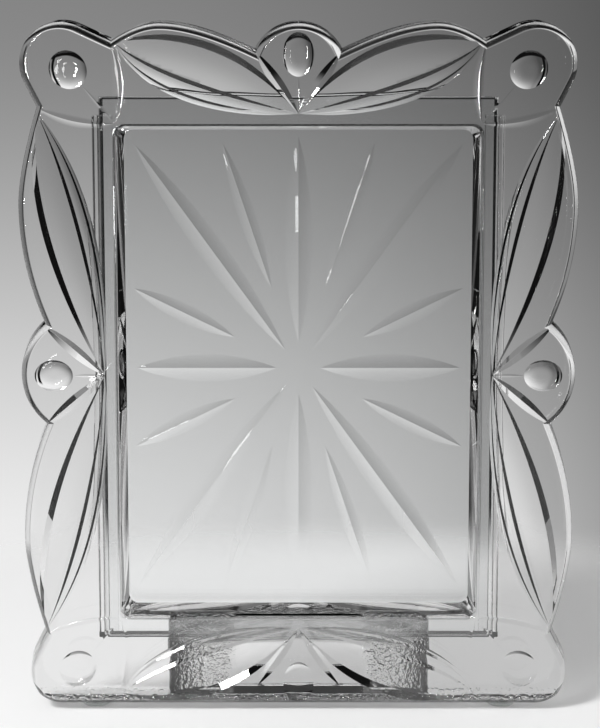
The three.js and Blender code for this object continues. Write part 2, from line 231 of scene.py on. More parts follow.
def add_line(name: str, points: list[Vector], closed: bool) -> bpy.types.Object:
    """Add a curve of straight stretches through points in metres."""
    drawing = bpy.data.curves.new(name, "CURVE")
    drawing.dimensions = "3D"
    line = drawing.splines.new("POLY")
    line.points.add(len(points) - 1)
    for point, place in zip(line.points, points):
        point.co = (*place.to_3d(), 1)
    line.use_cyclic_u = closed
    curve = bpy.data.objects.new(name, drawing)
    bpy.context.scene.collection.objects.link(curve)
    return curve


def add_prism(name: str, outline: list[Vector], depth: float) -> bpy.types.Object:
    """Draw a closed outline, fill it and extrude it upward.

    Args:
        name: The piece's name.
        outline: Flat points in metres, counter-clockwise.
        depth: How far it is extruded along +Z.

    Returns:
        The new piece, lying on the XY plane.
    """
    piece = add_line(name, outline, True)
    choose(piece)
    bpy.ops.object.convert(target="MESH")
    bpy.ops.object.mode_set(mode="EDIT")
    bpy.ops.mesh.select_all(action="SELECT")
    bpy.ops.mesh.edge_face_add()
    bpy.ops.mesh.extrude_region_move(TRANSFORM_OT_translate={"value": (0, 0, depth)})
    bpy.ops.mesh.select_all(action="SELECT")
    bpy.ops.mesh.normals_make_consistent(inside=False)
    bpy.ops.object.mode_set(mode="OBJECT")
    return piece


def ease_edges(piece: bpy.types.Object, width: float, segments: int, sharper: float) -> None:
    """Round the edges of a piece that are sharper than an angle.

    Args:
        piece: The piece.
        width: The rounding's size in metres.
        segments: Facets across the rounding.
        sharper: The least angle between the faces, in radians.
    """
    choose(piece)
    bpy.ops.object.mode_set(mode="EDIT")
    pick_edges(piece, lambda edge: len(edge.link_faces) == 2 and edge.calc_face_angle() > sharper)
    bpy.ops.mesh.bevel(offset=width, segments=segments, affect="EDGES")
    bpy.ops.object.mode_set(mode="OBJECT")


# Finishes

# The noise of the flow ripple is smooth, and that of the haze is broken up
RIPPLE_NOISE = {"Detail": 1.0, "Roughness": 0.4}
HAZE_NOISE = {"Detail": 4.0, "Roughness": 0.6}

# Levels of the haze's noise at which the surface starts to dull and is dullest
HAZE_START = 0.45
HAZE_FULL = 0.75


@dataclass(frozen=True)
class RoughBand:
    """A stretch left rough: the axis it lies along, where it starts and is full, its grain and depth."""

    axis: str
    start: float
    full: float
    grain: float
    depth: float

    def height(self, tree: bpy.types.NodeTree, place: bpy.types.NodeSocket) -> bpy.types.NodeSocket:
        """Add the nodes of the roughness.

        Args:
            tree: The material's tree.
            place: The socket with the object's coordinates.

        Returns:
            The socket with the height in metres.
        """
        axes = add_node(tree, "ShaderNodeSeparateXYZ", {"Vector": place})
        aside = add_node(tree, "ShaderNodeMath", {0: axes.outputs[self.axis]}, operation="ABSOLUTE")
        share = add_node(tree, "ShaderNodeMapRange", {
            "Value": aside.outputs[0], "From Min": self.start * MM, "From Max": self.full * MM,
            "To Max": self.depth * MM}, interpolation_type="SMOOTHSTEP")
        grain = add_node(tree, "ShaderNodeTexNoise", {
            "Vector": place, "Scale": 1 / (self.grain * MM)})
        rough = add_node(tree, "ShaderNodeMath", {
            0: grain.outputs["Fac"], 1: share.outputs["Result"]}, operation="MULTIPLY")
        return rough.outputs[0]


@dataclass(frozen=True)
class ClearFinish:
    """A clear material: its tint, how it bends light, and how even its surface is.

    Attributes:
        name: The material's name.
        slot: The material slot that it stands for; not used.
        tint: Its colour as sRGB hex.
        streak_tint: Its colour along the flow ripple.
        ior: How strongly it bends light.
        smoothest: Its least roughness.
        dullest: Its roughness in the haze.
        ripple: The flow ripple's length in millimetres.
        ripple_height: The ripple's height in millimetres.
        haze: The size of the haze's patches in millimetres.
        rough: A stretch that was left rough.
        mirror: How much of the room the surface mirrors, low so that dark cuts stay dark.
    """

    name: str
    slot: Slot
    tint: str
    streak_tint: str
    ior: float
    smoothest: float
    dullest: float
    ripple: float
    ripple_height: float
    haze: float
    rough: RoughBand | None = None
    mirror: float = 0.15

    def material(self) -> bpy.types.Material:
        """Make the material, or return it if it is already made."""
        made = bpy.data.materials.get(self.name)
        if made:
            return made
        made = bpy.data.materials.new(self.name)
        tree = empty_tree(made)
        place = add_node(tree, "ShaderNodeTexCoord").outputs["Object"]
        ripple = add_node(tree, "ShaderNodeTexNoise", {
            "Vector": place, "Scale": 1 / (self.ripple * MM), **RIPPLE_NOISE})
        height = add_node(tree, "ShaderNodeMath", {
            0: ripple.outputs["Fac"], 1: self.ripple_height * MM,
            2: self.rough.height(tree, place) if self.rough else 0.0}, operation="MULTIPLY_ADD")
        bump = add_node(tree, "ShaderNodeBump", {
            "Height": height.outputs[0], "Strength": 1.0, "Distance": 1.0})
        haze = add_node(tree, "ShaderNodeTexNoise", {
            "Vector": place, "Scale": 1 / (self.haze * MM), **HAZE_NOISE})
        dull = add_node(tree, "ShaderNodeMapRange", {
            "Value": haze.outputs["Fac"], "From Min": HAZE_START, "From Max": HAZE_FULL,
            "To Min": self.smoothest, "To Max": self.dullest})
        tint = add_node(tree, "ShaderNodeMix", {
            "Factor": ripple.outputs["Fac"], "A": linear(self.tint), "B": linear(self.streak_tint)},
            data_type="RGBA")
        shader = add_node(tree, "ShaderNodeBsdfPrincipled", {
            "Base Color": tint.outputs["Result"], "Roughness": dull.outputs["Result"],
            "IOR": self.ior, "Specular IOR Level": self.mirror, "Transmission Weight": 1.0,
            "Normal": bump.outputs["Normal"]})
        add_node(tree, "ShaderNodeOutputMaterial", {"Surface": shader.outputs["BSDF"]})
        return made


# Pressed lead crystal, fire-polished: bright, colourless, with a faint flow ripple from the mould and a
# grainy band along the base, whose grain is drawn as coarse as it needs to show
CRYSTAL = ClearFinish(
    name="pressed_lead_crystal", slot=Slot.CRYSTAL, tint="ffffff", streak_tint="fefefe",
    ior=1.55, smoothest=0.0, dullest=0.01, ripple=11.0, ripple_height=0.002, haze=18.0,
    rough=RoughBand(axis="Z", start=6.5, full=4.5, grain=1.2, depth=0.8))

# The foot's crystal: cast thick, clear in the middle and rough-cast at both ends, where it breaks up the
# view; this grain too is drawn as coarse as it needs to show
CAST_CRYSTAL = ClearFinish(
    name="cast_lead_crystal", slot=Slot.CRYSTAL, tint="ffffff", streak_tint="fdfdfd",
    ior=1.55, smoothest=0.0, dullest=0.01, ripple=11.0, ripple_height=0.002, haze=18.0,
    rough=RoughBand(axis="X", start=21.0, full=26.0, grain=1.5, depth=1.6))

# Float glass: flatter than the pressed crystal, with its trace of green
FLOAT_GLASS = ClearFinish(
    name="clear_float_glass", slot=Slot.FLOAT, tint="feffff", streak_tint="fdfefe",
    ior=1.52, smoothest=0.0, dullest=0.006, ripple=60.0, ripple_height=0.004, haze=25.0)

# Extruded acrylic strip: clear, a little softer in its gloss, with a fine ripple from the die
ACRYLIC = ClearFinish(
    name="extruded_clear_acrylic", slot=Slot.ACRYLIC, tint="ffffff", streak_tint="fefefe",
    ior=1.49, smoothest=0.0, dullest=0.01, ripple=7.0, ripple_height=0.002, haze=9.0)

# Cast soft polyurethane: clear but a little cloudy, with a satin skin
SOFT_CLEAR = ClearFinish(
    name="cast_clear_polyurethane", slot=Slot.RUBBER, tint="f2f5f4", streak_tint="e9eeec",
    ior=1.5, smoothest=0.12, dullest=0.28, ripple=3.0, ripple_height=0.02, haze=2.0)


@dataclass(frozen=True)
class CementFinish:
    """Cured cement with the crystal's own index, so that light crosses a joint without a bend."""

    name: str
    tint: str

    def material(self) -> bpy.types.Material:
        """Make the material, or return it if it is already made."""
        made = bpy.data.materials.get(self.name)
        if made:
            return made
        made = bpy.data.materials.new(self.name)
        tree = empty_tree(made)
        clear = add_node(tree, "ShaderNodeBsdfTransparent", {"Color": linear(self.tint)})
        add_node(tree, "ShaderNodeOutputMaterial", {"Surface": clear.outputs["BSDF"]})
        return made


# Optical cement in the foot's joint: the eye sees through it as through one block
CEMENT = CementFinish(name="optical_cement", tint="fefefe")


def finish_piece(piece: bpy.types.Object, name: str, finish: ClearFinish, body: Body, node: str,
                 smooth: float) -> bpy.types.Object:
    """Give a piece its name, shading, finish and place in the frame.

    Args:
        piece: The modelled piece.
        name: Its final name.
        finish: The finish that it wears.
        body: The body that it rides on.
        node: The CAD node that it stands for.
        smooth: Angle in radians below which edges are shaded smooth.

    Returns:
        The finished piece.
    """
    choose(piece)
    bpy.ops.object.shade_smooth_by_angle(angle=smooth)
    steady = piece.modifiers.new("steady", "WEIGHTED_NORMAL")
    steady.weight = FLAT_WEIGHT
    steady.keep_sharp = True
    bpy.ops.object.modifier_apply(modifier=steady.name)
    piece.name = name
    piece.data.name = name
    piece.data.materials.clear()
    piece.data.materials.append(finish.material())
    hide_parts(node)
    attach(piece, body.value)
    log.info("%s: %d faces, %s", name, len(piece.data.polygons), finish.name)
    return piece


def cement_faces(piece: bpy.types.Object, wanted: Callable[[bmesh.types.BMFace], bool]) -> None:
    """Give the cement to the faces of a finished piece that pass a test."""
    piece.data.materials.append(CEMENT.material())
    choose(piece)
    bpy.ops.object.mode_set(mode="EDIT")
    pick_faces(piece, wanted)
    piece.active_material_index = len(piece.data.materials) - 1
    bpy.ops.object.material_slot_assign()
    bpy.ops.object.mode_set(mode="OBJECT")


# The border's face as a flat drawing


def flat(x: float, z: float) -> Vector:
    """A point of the face, in millimetres about the middle of the outline."""
    return Vector((x, z))


def arc_points(centre: Vector, start: Vector, end: Vector, steps: int) -> list[Vector]:
    """Points of an arc about a centre, counter-clockwise from one of its points to another."""
    spoke = start - centre
    begin = math.atan2(spoke.y, spoke.x)
    last = end - centre
    sweep = (math.atan2(last.y, last.x) - begin) % math.tau
    turns = [begin + sweep * step / steps for step in range(steps + 1)]
    return [centre + spoke.length * flat(math.cos(turn), math.sin(turn)) for turn in turns]


def bent_points(start: Vector, control: Vector, end: Vector, steps: int) -> list[Vector]:
    """Points of a curve with one control point."""
    first = start.lerp(control, 2 / 3)
    second = end.lerp(control, 2 / 3)
    return [point.to_2d() for point in interpolate_bezier(
        start.to_3d(), first.to_3d(), second.to_3d(), end.to_3d(), steps + 1)]


def touch_point(centre: Vector, radius: float, point: Vector, side: int) -> Vector:
    """Where a line from a point touches a circle, on the chosen side."""
    away = point - centre
    swing = side * math.acos(radius / away.length)
    return centre + Matrix.Rotation(swing, 2) @ away.normalized() * radius


def lobe_centre(peak: Vector, notch: Vector) -> Vector:
    """Centre of the circle through a lobe's peak on an axis and its notch."""
    chord = notch - peak
    inward = -peak.normalized()
    return peak + inward * chord.length_squared / (2 * chord.dot(inward))


def grown(outline: list[Vector], width: float) -> list[Vector]:
    """A counter-clockwise outline moved outward by a width."""
    moved = []
    for before, point, after in zip([outline[-1], *outline], outline, [*outline[1:], outline[0]]):
        run, next_run = (point - before).normalized(), (after - point).normalized()
        out, next_out = flat(run.y, -run.x), flat(next_run.y, -next_run.x)
        way = (out + next_out).normalized()
        moved.append(point + way * width / way.dot(out))
    return moved


@dataclass(frozen=True)
class VCut:
    """A V-shaped cut: walls at a slope and an eased bottom."""

    slope: float
    ease: float = 0.1
    steps: int = 6
    spill: float = 0.5

    def depth(self, share: float) -> float:
        """How deep the cut goes where it has a share of its greatest width, for a half width of one."""
        return share * math.tan(self.slope)

    def profile(self) -> list[Vector]:
        """Points of the closed section for a half width of one, with the face at height zero."""
        pitch = math.tan(self.slope)
        top = 1 + self.spill
        centre = self.ease / math.cos(self.slope) - pitch
        turns = [self.slope * (2 * step / self.steps - 1) for step in range(self.steps + 1)]
        bottom = [
            Vector((self.ease * math.sin(turn), centre - self.ease * math.cos(turn))) for turn in turns]
        return [Vector((-top, self.spill * pitch)), *bottom, Vector((top, self.spill * pitch))]


@dataclass(frozen=True)
class SawCut:
    """A lopsided cut: a steep outer wall and a long gentle inner wall that sags a little."""

    slope: float
    valley: float
    outer: int = 1
    sag: float = 0.12
    steps: int = 12
    spill: float = 0.2

    def depth(self, share: float) -> float:
        """How deep the cut goes where it has a share of its greatest width, for a half width of one."""
        return share * 2 * self.valley * math.tan(self.slope)

    def profile(self) -> list[Vector]:
        """Points of the closed section about the valley for a half width of one, the face at zero."""
        deep = self.depth(1)
        reach = 2 * (1 - self.valley)
        steep = 2 * self.valley + self.spill
        gentle = []
        for step in range(self.steps + 1):
            share = (1 + self.spill) * step / self.steps
            hollow = self.sag * deep * math.sin(math.pi * min(share, 1))
            gentle.append(Vector((-self.outer * reach * share, deep * (share - 1) - hollow)))
        return [*reversed(gentle), Vector((self.outer * steep, steep * math.tan(self.slope) - deep))]


@dataclass(frozen=True)
class FlaredCut:
    """A soft V-cut: walls steepest along the bottom line, flaring to a share of that slope at the edges."""

    slope: float
    flare: float = 0.1
    steps: int = 12
    spill: float = 0.3

    def depth(self, share: float) -> float:
        """How deep the cut goes where it has a share of its greatest width, for a half width of one."""
        return math.tan(self.slope) * (share - (1 - self.flare) * share ** 2 / 2)

    def profile(self) -> list[Vector]:
        """Points of the closed section for a half width of one, with the face at height zero."""
        shares = [step / self.steps for step in range(self.steps + 1)]
        wall = [Vector((share, self.depth(share) - self.depth(1))) for share in shares]
        wall.append(Vector((1 + self.spill, self.spill * self.flare * math.tan(self.slope))))
        return [*(Vector((-point.x, point.y)) for point in reversed(wall[1:])), *wall]


@dataclass(frozen=True)
class Leaf:
    """A cut's middle line on the face and its half width along it, in millimetres."""

    points: list[Vector]
    halves: list[float]

    def mirrored(self, right: int, up: int) -> "Leaf":
        """The same leaf in another quarter of the face."""
        return Leaf([flat(right * point.x, up * point.y) for point in self.points], self.halves)


LEAF_STEPS = 40

# How far the ends of a cut stay above the face, in millimetres
TIP_LIFT = 0.002


def lens(start: Vector, end: Vector, width: float, bow: float) -> Leaf:
    """A lens-shaped leaf between two points, bowed to the left of its run."""
    along = (end - start).normalized()
    across = flat(-along.y, along.x)
    bend = start.lerp(end, 0.5) + across * 2 * bow
    points = bent_points(start, bend, end, LEAF_STEPS)
    shares = [step / LEAF_STEPS for step in range(LEAF_STEPS + 1)]
    return Leaf(points, [2 * width * share * (1 - share) for share in shares])


def between(outer: list[Vector], inner: list[Vector], valley: float) -> Leaf:
    """The leaf between two edge lines that share their ends, with its valley at a share of the width."""
    line = [a.lerp(b, valley) for a, b in zip(outer, inner)]
    halves = []
    for step in range(LEAF_STEPS + 1):
        along = (line[min(step + 1, LEAF_STEPS)] - line[max(step - 1, 0)]).normalized()
        across = flat(-along.y, along.x)
        halves.append(abs((outer[step] - inner[step]).dot(across)) / 2)
    return Leaf(line, halves)


def cut_leaf(piece: bpy.types.Object, leaf: Leaf, cut: VCut | SawCut | FlaredCut, place: Matrix) -> None:
    """Sweep a cut's section along a leaf, sinking and rising like a cutting wheel, and cut it away.

    Args:
        piece: The piece that is cut.
        leaf: Where the cut runs.
        cut: The section.
        place: From the flat drawing, with its Z out of the face, to the part's frame.
    """
    widest = max(leaf.halves)
    section = add_line("section", [point * widest * MM for point in cut.profile()], True)
    lifts = [widest * (cut.depth(1) - cut.depth(half / widest)) + TIP_LIFT for half in leaf.halves]
    path = [Vector((*spot, lift)) * MM for spot, lift in zip(leaf.points, lifts)]
    cutter = add_line("leaf", path, False)
    cutter.data.twist_mode = "Z_UP"
    cutter.data.bevel_mode = "OBJECT"
    cutter.data.bevel_object = section
    cutter.data.use_fill_caps = True
    choose(cutter)
    bpy.ops.object.convert(target="MESH")
    cutter.data.transform(place)
    bpy.data.objects.remove(section)
    close_up(cutter)
    combine(piece, cutter, Change.CUT)


# Signs of X and Z in the four quarters of the face
QUARTERS = [(1, 1), (-1, 1), (-1, -1), (1, -1)]


@dataclass
class CrystalBorder:
    """The pressed scalloped border: outline, rim, flat base, window, leaf cuts and thumbprints."""

    node: str = "crystal_border"

    # Rim: a crisp rear edge, a drafted side and a curve into the face
    rim_draft: float = math.radians(5.5)
    rim_width: float = 2.2
    rim_slope: float = math.radians(45)
    rim_steps: int = 12
    rim_edge: float = 0.3
    rim_ease: float = 0.2
    rim_segments: int = 4
    rim_band: float = 0.25

    # Outline: the border's width beside and above the window, and its lobes, notches and bulges
    side_reach: float = 31.9
    end_reach: float = 32.3
    corner_lobe_radius: float = 13.2
    corner_lobe: Pair = (17.5, 19.4)
    side_notch: Pair = (25.4, 5.8)
    end_notch: Pair = (1.3, 26.5)
    side_lobe_notch: float = 16.5
    side_lobe_inset: float = 8.0
    end_lobe_notch: float = 13.7
    end_lobe_inset: float = 9.0
    side_bulge_drop: float = 32.0
    side_bulge_ease: float = 11.0
    side_bulge_tail: float = 19.0
    end_bulge_drop: float = 15.5
    end_bulge_ease: float = 8.4
    end_bulge_tail: float = 18.9
    base_trim: float = 1.8
    base_round: float = 4.5

    # Window
    window_draft: float = math.radians(6.3)
    window_corner: float = 3.2
    window_drop: float = 0.3
    window_lip: float = 1.0
    lip_steps: int = 10

    # Fans: where the leaves meet, their guides, the leaves' edges as shares between these, and their sections
    notch_inset: float = 1.6
    side_meet_out: float = 4.3
    end_meet_up: float = 3.6
    side_outer_handles: Handles = ((6.3, -29.5), (14.2, 25.0))
    side_inner_handles: Handles = ((-19.1, -23.2), (-1.8, 32.0))
    end_outer_handles: Handles = ((-16.5, 5.9), (18.0, 25.5))
    end_inner_handles: Handles = ((-7.8, -15.8), (30.0, -1.8))
    fan_shares: tuple[float, ...] = (0.0, 0.66, 0.89, 1.0)
    fan_cuts: tuple[SawCut, ...] = (
        SawCut(math.radians(34), 0.18), SawCut(math.radians(33), 0.3), SawCut(math.radians(33), 0.4))

    # Leaves beside the lobes, and mitres from the thumbprints inward
    corner_meet_up: float = 0.5
    lobe_leaf_width: float = 3.8
    corner_leaf_bow: float = 2.0
    mitre_width: float = 1.5
    lobe_cut: VCut = VCut(math.radians(24))
    corner_cut: VCut = VCut(math.radians(13))
    mitre_cut: VCut = VCut(math.radians(12))

    # Thumbprints
    dot_depth: float = 0.95
    dot_power: int = 4
    dot_spill: float = 1.1
    corner_dot: Pair = (11.6, 12.7)
    corner_dot_in: float = 2.8
    corner_dot_down: float = 1.9
    end_dot: Pair = (10.0, 14.0)
    end_dot_in: float = 10.0
    side_dot: Pair = (12.4, 10.2)
    side_dot_in: float = 11.0

    # Seat of the foot's joint, and how far cutters stand out of the glass
    seat_inset: float = 0.8
    seat_depth: float = 0.02
    spill: float = 1.0

    # Fineness of the curves
    dot_segments: int = 96
    dot_rings: int = 24
    curve_steps: int = 16
    lobe_steps: int = 40

    def __post_init__(self) -> None:
        """Read the solid's box and set the pattern's anchor points in the upper right quarter."""
        low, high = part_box(self.node)
        self.front, self.rear = low.y / MM, high.y / MM
        self.base = low.z / MM
        self.depth = self.rear - self.front
        flare = self.rim_profile()[0].x
        self.half_width = high.x / MM - flare
        lobe_over = self.corner_lobe[1] + self.corner_lobe_radius - self.end_reach
        self.half_height = ((high.z - low.z) / MM - flare - lobe_over + self.base_trim) / 2
        self.middle = self.base - self.base_trim + self.half_height
        self.window = flat(self.half_width - self.side_reach, self.half_height - self.end_reach)
        self.corner_centre = self.window + flat(*self.corner_lobe)
        self.side_notch_point = self.window + flat(*self.side_notch)
        self.end_notch_point = self.window + flat(*self.end_notch)
        self.side_lobe_end = flat(self.half_width - self.side_lobe_inset, self.side_lobe_notch)
        self.end_lobe_end = flat(self.end_lobe_notch, self.half_height - self.end_lobe_inset)
        self.side_meet = flat(self.window.x + self.side_meet_out, 0)
        self.end_meet = flat(0, self.window.y + self.end_meet_up)
        self.corner_meet = self.window + flat(0, self.corner_meet_up)
        self.corner_dot_point = self.corner_centre - flat(self.corner_dot_in, self.corner_dot_down)
        upright = Matrix.Rotation(math.pi / 2, 4, "X")
        self.on_face = Matrix.Translation((0, self.front * MM, self.middle * MM)) @ upright

    def side_outline(self) -> list[Vector]:
        """The upper right side of the outline, from its middle to the notch below the corner lobe."""
        peak = flat(self.half_width, 0)
        bulge = flat(self.half_width, self.side_notch_point.y - self.side_bulge_drop)
        tail = flat(self.half_width, self.side_lobe_end.y + self.side_bulge_tail)
        ease = flat(self.half_width, bulge.y + self.side_bulge_ease)
        return [
            *arc_points(lobe_centre(peak, self.side_lobe_end), peak, self.side_lobe_end, self.curve_steps),
            *bent_points(self.side_lobe_end, tail, bulge, self.curve_steps)[1:],
            *bent_points(bulge, ease, self.side_notch_point, self.curve_steps)[1:],
        ]

    def top_outline(self) -> list[Vector]:
        """The right half of the top, from the corner lobe to the middle."""
        peak = flat(0, self.half_height)
        bulge = flat(self.end_notch_point.x - self.end_bulge_drop, self.half_height)
        ease = flat(self.end_notch_point.x - self.end_bulge_ease, self.half_height)
        tail = flat(self.end_lobe_end.x + self.end_bulge_tail, self.half_height)
        top_centre = lobe_centre(peak, self.end_lobe_end)
        centre, radius = self.corner_centre, self.corner_lobe_radius
        lobe_start = touch_point(centre, radius, self.side_notch_point, 1)
        lobe_end = touch_point(centre, radius, self.end_notch_point, -1)
        return [
            *arc_points(centre, lobe_start, lobe_end, self.lobe_steps),
            *bent_points(self.end_notch_point, ease, bulge, self.curve_steps),
            *bent_points(bulge, tail, self.end_lobe_end, self.curve_steps)[1:],
            *arc_points(top_centre, self.end_lobe_end, peak, self.curve_steps)[1:],
        ]

    def base_outline(self) -> list[Vector]:
        """The corner lobe that runs into the flat base, drawn upside down like the top."""
        centre, radius = self.corner_centre, self.corner_lobe_radius
        level = self.half_height - self.base_trim
        meeting = flat(centre.x + math.sqrt(radius ** 2 - (level - centre.y) ** 2), level)
        lobe_start = touch_point(centre, radius, self.side_notch_point, 1)
        lobe_end = centre + Matrix.Rotation(-self.base_round / radius, 2) @ (meeting - centre)
        return [
            *arc_points(centre, lobe_start, lobe_end, self.lobe_steps),
            *bent_points(lobe_end, meeting, meeting - flat(self.base_round, 0), self.curve_steps)[1:],
        ]

    def outline(self) -> list[Vector]:
        """The quarters mirrored into the whole outline, in metres."""
        upper = [*self.side_outline(), *self.top_outline()]
        lower = [*self.side_outline(), *self.base_outline()]
        whole = [
            *upper,
            *(flat(-point.x, point.y) for point in upper[-2:0:-1]),
            *(flat(-point.x, -point.y) for point in lower),
            *(flat(point.x, -point.y) for point in lower[:0:-1]),
        ]
        return [point * MM for point in whole]

    def rim_profile(self) -> list[Vector]:
        """The rim from its rear edge to the face, as distances out of the outline and up from the rear."""
        side = math.pi / 2 - self.rim_draft
        radius = self.rim_width / (math.sin(side) - math.sin(self.rim_slope))
        shares = [step / self.rim_steps for step in range(self.rim_steps + 1)]
        slopes = [side + (self.rim_slope - side) * share for share in shares]
        centre = Vector((-radius * math.sin(side), self.depth - radius * math.cos(self.rim_slope)))
        curve = [centre + radius * Vector((math.sin(slope), math.cos(slope))) for slope in slopes]
        flare = (curve[0].y - self.rim_edge) * math.tan(self.rim_draft)
        return [Vector((flare, 0)), Vector((flare, self.rim_edge)), *curve]

    def add_slab(self) -> bpy.types.Object:
        """The outline as a slab with a crisp rear edge, a drafted side and a rim curving into the face."""
        rear, brink, *curve = self.rim_profile()
        slab = add_prism("border_slab", grown(self.outline(), rear.x * MM), brink.y * MM)
        bpy.ops.object.mode_set(mode="EDIT")
        pick_faces(slab, lambda face: face.normal.z > LEVEL)
        for lower, upper in zip([brink, *curve], curve):
            bpy.ops.mesh.inset(thickness=(lower.x - upper.x) * MM, depth=(upper.y - lower.y) * MM)
        levels = [0, self.depth * MM]
        pick_edges(slab, lambda edge: any(
            all(abs(end.co.z - level) < WELD for end in edge.verts) for level in levels))
        bpy.ops.mesh.bevel(offset=self.rim_ease * MM, segments=self.rim_segments, affect="EDGES")
        pick_faces(slab, lambda face: abs(face.normal.z) > LEVEL and len(face.verts) > 4)
        bpy.ops.mesh.inset(thickness=self.rim_band * MM)
        bpy.ops.object.mode_set(mode="OBJECT")
        slab.data.transform(self.on_face @ Matrix.Translation((0, 0, -self.depth * MM)))
        close_up(slab)
        return slab

    def add_ground(self) -> bpy.types.Object:
        """The block that is ground away to leave a flat underside."""
        low = Vector((-2 * self.half_width, self.front - self.depth, self.base - self.depth)) * MM
        high = Vector((2 * self.half_width, self.rear + self.depth, self.base)) * MM
        return add_block("ground", low, high)

    def add_seat(self) -> bpy.types.Object:
        """The shallow block that is ground out of the rear for the foot's joint."""
        low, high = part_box(FOOT_NODE)
        inset = self.seat_inset * MM
        top = high.z - FOOT_LIP * MM - inset
        start = Vector((low.x + inset, (self.rear - self.seat_depth) * MM, low.z + inset))
        return add_block("seat", start, Vector((high.x - inset, (self.rear + self.spill) * MM, top)))

    def add_window_cutter(self) -> bpy.types.Object:
        """The drafted opening, wider in front, with a round where it meets the face."""
        slant = flat(1, 1) * math.tan(self.window_draft)
        height = self.middle - self.window_drop
        middle = Vector((0, self.front, height)) * MM
        half = self.window - slant * (self.depth + self.spill)
        low = Vector((-half.x, self.front, height - half.y)) * MM
        high = Vector((half.x, self.rear + self.spill, height + half.y)) * MM
        cutter = add_block("window_cutter", low, high)
        bpy.ops.object.mode_set(mode="EDIT")
        pick_edges(cutter, lambda edge: abs(edge.verts[0].co.y - edge.verts[1].co.y) > MM)
        bpy.ops.mesh.bevel(offset=self.window_corner * MM, segments=self.curve_steps, affect="EDGES")
        pick_faces(cutter, lambda face: face.normal.y < -LEVEL)
        lip = self.window_lip
        turns = [math.pi / 2 * step / self.lip_steps for step in range(self.lip_steps)]
        stations = [(lip * (1 - math.sin(turn)), lip * (1 - math.cos(turn))) for turn in turns]
        at = 0.0
        for number, (inside, wider) in enumerate([*stations, (-self.spill, lip)]):
            if number:
                bpy.ops.mesh.extrude_region_move()
            bpy.ops.transform.translate(value=(0, (inside - at) * MM, 0))
            wide = self.window - slant * lip + flat(1, 1) * wider
            bpy.ops.transform.resize(value=(wide.x / half.x, 1, wide.y / half.y), center_override=middle)
            at, half = inside, wide
        bpy.ops.object.mode_set(mode="OBJECT")
        close_up(cutter)
        return cutter

    def guide(self, notch: Vector, meet: Vector, handles: Handles) -> list[Vector]:
        """A guide curve of a fan, from beside a notch to where the leaves meet."""
        start = notch + (meet - notch).normalized() * self.notch_inset
        knots = [start, start + flat(*handles[0]), meet + flat(*handles[1]), meet]
        curve = interpolate_bezier(*(knot.to_3d() for knot in knots), LEAF_STEPS + 1)
        return [point.to_2d() for point in curve]

    def cut_fan(self, slab: bpy.types.Object, notch: Vector, meet: Vector, guides: tuple[Handles, Handles],
                outer: int) -> None:
        """Cut the leaves of one fan into all four quarters of the face.

        Args:
            slab: The border.
            notch: The notch that the fan starts beside.
            meet: Where its leaves meet.
            guides: Handles of the outer and of the inner guide.
            outer: Which side of the run the outer guide is on in the upper right quarter, 1 right or -1 left.
        """
        outside, inside = (self.guide(notch, meet, handles) for handles in guides)
        for first, last, cut in zip(self.fan_shares, self.fan_shares[1:], self.fan_cuts):
            edges = [[a.lerp(b, share) for a, b in zip(outside, inside)] for share in (first, last)]
            leaf = between(*edges, cut.valley)
            for right, up in QUARTERS:
                turned = replace(cut, outer=outer * right * up)
                cut_leaf(slab, leaf.mirrored(right, up), turned, self.on_face)

    def cut_leaves(self, slab: bpy.types.Object) -> None:
        """Cut the fans, the lobes' leaves and the mitres into the face."""
        side_guides = (self.side_outer_handles, self.side_inner_handles)
        end_guides = (self.end_outer_handles, self.end_inner_handles)
        self.cut_fan(slab, self.side_notch_point, self.side_meet, side_guides, -1)
        self.cut_fan(slab, self.end_notch_point, self.end_meet, end_guides, 1)
        width, bow = self.lobe_leaf_width, self.corner_leaf_bow
        self.cut_quarters(slab, lens(self.side_notch_point, self.corner_meet, width, bow), self.corner_cut)
        self.cut_quarters(slab, lens(self.end_notch_point, self.corner_meet, width, -bow), self.corner_cut)
        self.cut_quarters(slab, lens(self.side_lobe_end, self.side_meet, width, 0), self.lobe_cut)
        self.cut_quarters(slab, lens(self.end_lobe_end, self.end_meet, width, 0), self.lobe_cut)
        towards = (self.corner_meet - self.corner_dot_point).normalized()
        corner_mitre = self.corner_dot_point + towards * self.corner_dot[1] / 2
        self.cut_quarters(slab, lens(corner_mitre, self.corner_meet, self.mitre_width, 0), self.mitre_cut)
        side_mitre = flat(self.half_width - self.side_dot_in - self.side_dot[0] / 2, 0)
        end_mitre = flat(0, self.half_height - self.end_dot_in - self.end_dot[1] / 2)
        side_leaf = lens(side_mitre, self.side_meet, self.mitre_width, 0)
        end_leaf = lens(end_mitre, self.end_meet, self.mitre_width, 0)
        for leaf in (side_leaf, side_leaf.mirrored(-1, 1), end_leaf, end_leaf.mirrored(1, -1)):
            cut_leaf(slab, leaf, self.mitre_cut, self.on_face)

    def cut_quarters(self, slab: bpy.types.Object, leaf: Leaf, cut: VCut) -> None:
        """Cut one leaf into all four quarters of the face."""
        for right, up in QUARTERS:
            cut_leaf(slab, leaf.mirrored(right, up), cut, self.on_face)

